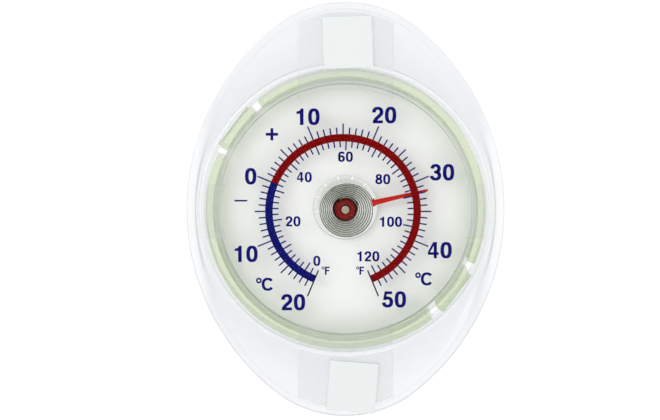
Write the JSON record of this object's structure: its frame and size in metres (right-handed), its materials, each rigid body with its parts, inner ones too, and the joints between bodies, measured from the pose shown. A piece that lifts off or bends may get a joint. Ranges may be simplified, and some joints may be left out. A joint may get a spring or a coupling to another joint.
{
  "type": "stick-on dial window thermometer",
  "caption": "Round bimetal dial thermometer in a green-tinted case, held in a clear oval holder with two adhesive foam pads for sticking to a window pane.",
  "frame": {"origin": "on the dial's axis, in the plane of the pads' outer faces, where the window glass is", "axes": "-Y out of the dial towards the glass and the reader, +Z to the top of the dial, +X to the reader's right"},
  "size_m": [0.076, 0.015, 0.1],
  "materials": {
    "clear_plastic": "clear, glossy",
    "green_tinted_plastic": "translucent pale green, glossy",
    "white_plastic": "off-white, satin",
    "red_plastic": "red, glossy",
    "foam": "white closed-cell foam tape",
    "liner": "white release liner, slightly glossy",
    "bimetal": "dark grey-green rolled strip",
    "pin_metal": "dull beige-grey turned metal"
  },
  "bodies": {
    "holder": {"window_holder": "clear_plastic", "upper_foam_pad": "foam", "lower_foam_pad": "foam"},
    "case": {"case_cup": "green_tinted_plastic", "front_lens": "clear_plastic", "dial_plate": "white_plastic", "centre_pin": "pin_metal"},
    "hub": {"coil_hub": "red_plastic", "hub_washer": "pin_metal", "bimetal_coil": "bimetal"},
    "pointer": {"pointer": "red_plastic"},
    "upper_liner": {"upper_release_liner": "liner"},
    "lower_liner": {"lower_release_liner": "liner"}
  },
  "joints": [
    {"name": "case_turn", "type": "hinge", "parent": "holder", "child": "case", "pos_m": [0, 0.008, 0], "axis": [0, 1, 0], "continuous": true},
    {"name": "hub_calibration", "type": "hinge", "parent": "case", "child": "hub", "pos_m": [0, 0.008, 0], "axis": [0, 1, 0], "range_deg": [-20, 20]},
    {"name": "pointer_swing", "type": "hinge", "parent": "hub", "child": "pointer", "pos_m": [0, 0.006, 0], "axis": [0, 1, 0], "range_deg": [-234.2, 80.8], "stiffness_Nm_per_rad": 0.00002, "deforming": ["bimetal_coil"]},
    {"name": "upper_liner_peel", "type": "slide", "parent": "holder", "child": "upper_liner", "axis": [0, -1, 0], "range_m": [0, 0.025]},
    {"name": "lower_liner_peel", "type": "slide", "parent": "holder", "child": "lower_liner", "axis": [0, -1, 0], "range_m": [0, 0.025]}
  ]
}
